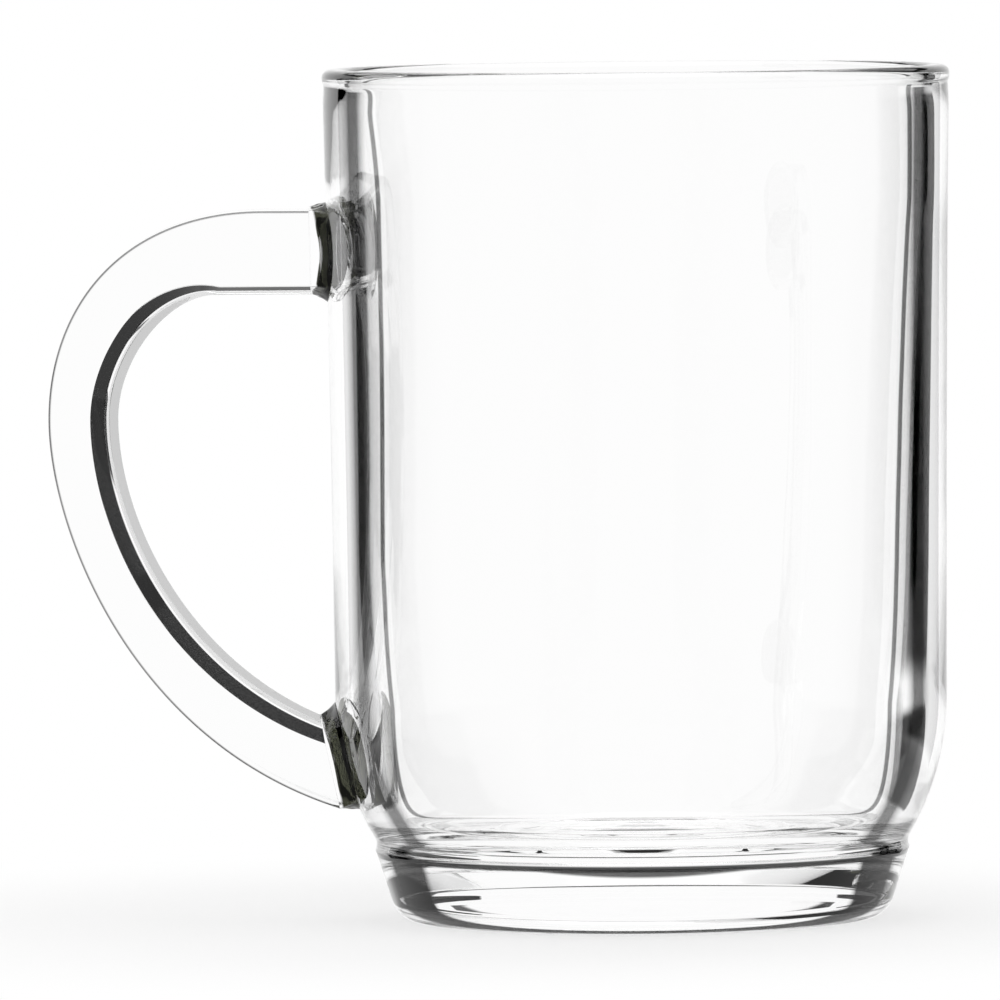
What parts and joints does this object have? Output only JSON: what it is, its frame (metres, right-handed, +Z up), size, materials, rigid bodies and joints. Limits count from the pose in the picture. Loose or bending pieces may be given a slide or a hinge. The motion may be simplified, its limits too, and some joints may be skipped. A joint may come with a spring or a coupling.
{
  "type": "glass beer mug",
  "caption": "Straight-walled clear glass beer mug with a heavy stepped foot, a rounded heel and a D-shaped strap handle fused on at both ends.",
  "frame": {"origin": "on the table, under the middle of the mug's overall box, handle included", "axes": "+Z up out of the mug's mouth, -X towards the handle, the handle lies in the plane Y = 0"},
  "size_m": [0.1324, 0.092, 0.125],
  "materials": {
    "clear_glass": "clear fire-polished soda-lime glass with a faint grey-green cast where it is thick",
    "weld_glass": "the same glass, slightly wrinkled and darker where the handle is fused to the wall"
  },
  "bodies": {
    "root": {"bowl": "clear_glass", "handle": "clear_glass", "upper_weld": "weld_glass", "lower_weld": "weld_glass"}
  },
  "joints": []
}
